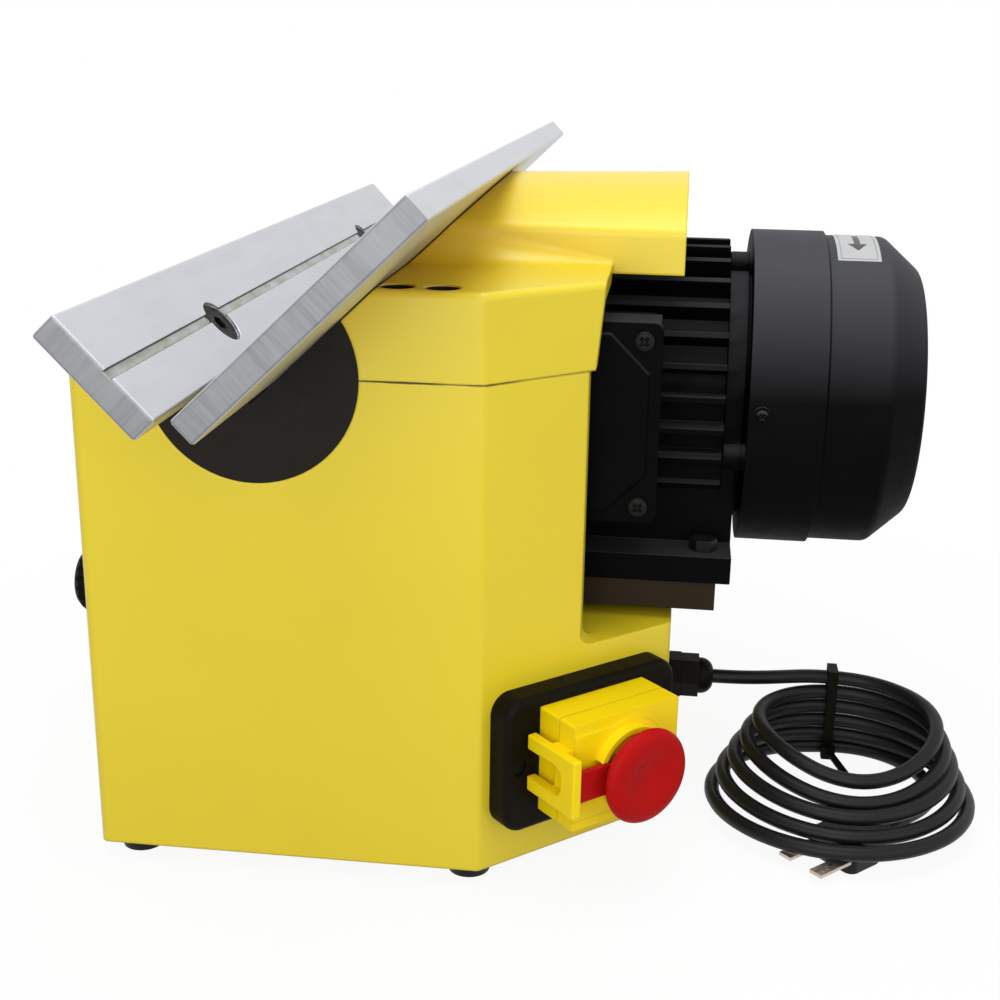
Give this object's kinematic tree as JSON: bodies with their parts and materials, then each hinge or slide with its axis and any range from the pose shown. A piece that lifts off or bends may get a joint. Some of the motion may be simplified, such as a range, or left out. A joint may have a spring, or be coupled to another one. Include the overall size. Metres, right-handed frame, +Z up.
{
  "type": "bench-top edge chamfering machine",
  "caption": "Bench-top chamfering machine: steel V guide on a tilting drum, cutter on a motor shaft under its root, motor slide fed by a front knob, flap-lid switch and coiled mains cord.",
  "frame": {"origin": "middle of the bounding box of the machine without its cord, on the bench under the rubber feet", "axes": "+X from the feed knob at the front towards the motor's fan cover at the rear, +Y along the guide plates to the operator's left, +Z up"},
  "size_m": [0.4389, 0.481, 0.2906],
  "materials": {
    "yellow_paint": "smooth semi-gloss yellow paint on cast iron",
    "motor_paint": "satin black paint",
    "black_steel": "blackened steel",
    "plate_steel": "ground steel",
    "zinc_steel": "zinc-plated steel",
    "carbide": "coated carbide",
    "core_iron": "laminated electrical steel",
    "aluminium": "turned aluminium",
    "brass": "machined brass",
    "black_plastic": "moulded black plastic",
    "yellow_plastic": "moulded yellow plastic",
    "red_plastic": "moulded red plastic",
    "green_plastic": "moulded green plastic",
    "rubber": "black rubber"
  },
  "bodies": {
    "body": {"base_casting": "yellow_paint", "upper_casting": "yellow_paint", "clamp_screws": "black_steel", "rubber_feet": "rubber", "foot_screws": "zinc_steel", "screw_bush": "brass", "switch_back_plate": "black_plastic", "switch_plate_screws": "black_steel", "switch_housing": "yellow_plastic", "lid_hinge_pin": "zinc_steel", "gland_body": "black_plastic", "gland_dome_nut": "black_plastic", "gland_lock_nut": "black_plastic", "cord_lead": "rubber", "cord_coil": "rubber", "cord_tail": "rubber", "cable_tie": "black_plastic", "plug_body": "rubber", "plug_pins": "brass"},
    "guide": {"tilt_drum": "black_steel", "rear_guide_plate": "plate_steel", "front_guide_plate": "plate_steel", "guide_plate_screws": "black_steel"},
    "carriage": {"carriage_plate": "black_steel", "slide_gib": "brass", "gib_screws": "zinc_steel", "lead_nut": "brass", "motor_frame": "motor_paint", "motor_front_shield": "motor_paint", "motor_rear_shield": "motor_paint", "front_bearing": "zinc_steel", "rear_bearing": "zinc_steel", "motor_tie_bolts": "black_steel", "stator": "core_iron", "fan_cover": "motor_paint", "fan_cover_screws": "black_steel", "terminal_box": "motor_paint", "terminal_box_cover": "motor_paint", "terminal_cover_screws": "black_steel", "motor_foot_bolts": "black_steel"},
    "rotor": {"motor_shaft": "plate_steel", "rotor_core": "core_iron", "cooling_fan": "black_plastic", "cutter_head": "black_steel", "cutter_inserts": "carbide", "insert_screws": "zinc_steel", "cutter_bolt": "black_steel"},
    "feed": {"lead_screw": "plate_steel", "thrust_collar": "zinc_steel", "feed_dial": "aluminium", "feed_knob": "black_plastic"},
    "lid": {"switch_lid": "yellow_plastic"},
    "mushroom": {"stop_mushroom": "red_plastic"},
    "start": {"start_button": "green_plastic"},
    "stop": {"stop_button": "red_plastic"}
  },
  "joints": [
    {"name": "guide_tilt", "type": "hinge", "parent": "body", "child": "guide", "pos_m": [-0.06735, 0, 0.2125], "axis": [0, -1, 0], "range_deg": [0, 30]},
    {"name": "carriage_feed", "type": "slide", "parent": "body", "child": "carriage", "axis": [1, 0, 0], "range_m": [-0.005, 0.005]},
    {"name": "feed_screw_turn", "type": "hinge", "parent": "body", "child": "feed", "pos_m": [-0.13995, 0, 0.0704], "axis": [1, 0, 0], "range_deg": [-1201, 1201]},
    {"name": "rotor_spin", "type": "hinge", "parent": "carriage", "child": "rotor", "pos_m": [0, 0, 0.1854], "axis": [1, 0, 0], "continuous": true},
    {"name": "lid_hinge", "type": "hinge", "parent": "body", "child": "lid", "pos_m": [0.09408, -0.10744, 0.05815], "axis": [0, 0, 1], "range_deg": [0, 110]},
    {"name": "mushroom_press", "type": "slide", "parent": "lid", "child": "mushroom", "axis": [-0.6712, 0.7413, 0], "range_m": [0, 0.003], "stiffness_N_per_m": 400, "springref_m": -0.002},
    {"name": "start_press", "type": "slide", "parent": "body", "child": "start", "axis": [-0.6712, 0.7413, 0], "range_m": [0, 0.003], "stiffness_N_per_m": 400, "springref_m": -0.002},
    {"name": "stop_press", "type": "slide", "parent": "body", "child": "stop", "axis": [-0.6712, 0.7413, 0], "range_m": [0, 0.003]}
  ],
  "couplings": [
    {"joint": "feed_screw_turn", "follows": "carriage_feed", "rad_per_m": -4188.8},
    {"joint": "stop_press", "follows": "mushroom_press", "ratio": 1}
  ]
}
